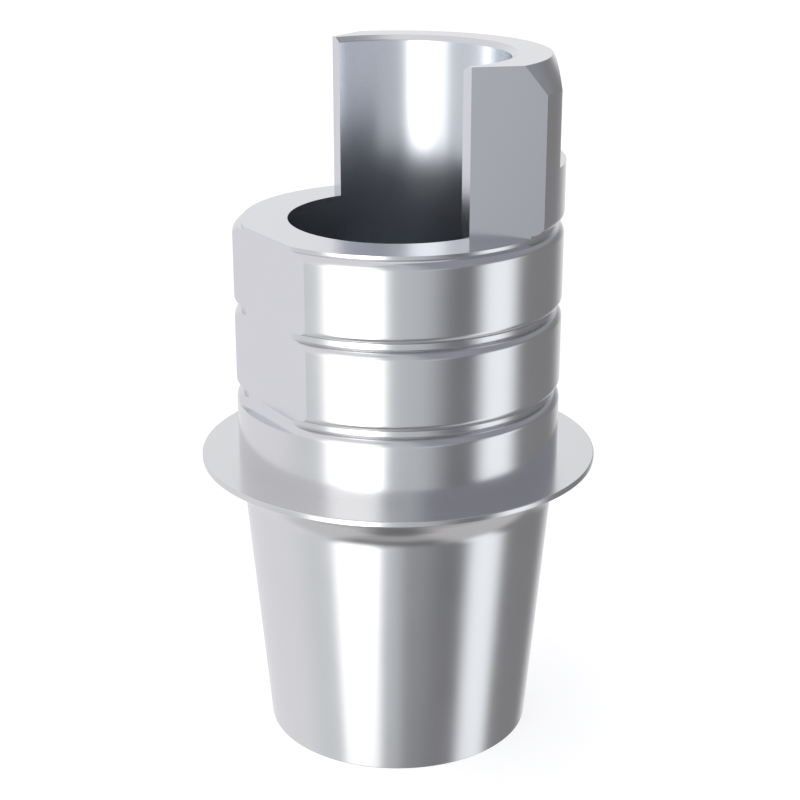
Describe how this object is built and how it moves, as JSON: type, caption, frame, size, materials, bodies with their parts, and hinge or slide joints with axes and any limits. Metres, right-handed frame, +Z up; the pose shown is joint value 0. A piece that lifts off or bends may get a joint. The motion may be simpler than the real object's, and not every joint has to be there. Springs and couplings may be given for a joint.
{
  "type": "dental titanium base abutment",
  "caption": "One-piece titanium base abutment: conical implant end, thin flange, grooved bonding post with a cut-away side window for a slanted screwdriver.",
  "frame": {"origin": "centre of the flat end of the implant cone, on the screw channel's axis", "axes": "+Z up the screw channel, from the implant cone to the chimney; the side window faces the direction 213 degrees from +X about +Z, so it looks to -X and -Y; +Y goes away from the reference camera"},
  "size_m": [0.0044, 0.0044, 0.0079],
  "materials": {
    "titanium": "fine turned, satin bright, uncoated Ti-6Al-4V"
  },
  "bodies": {
    "root": {"titanium_base": "titanium"}
  },
  "joints": []
}
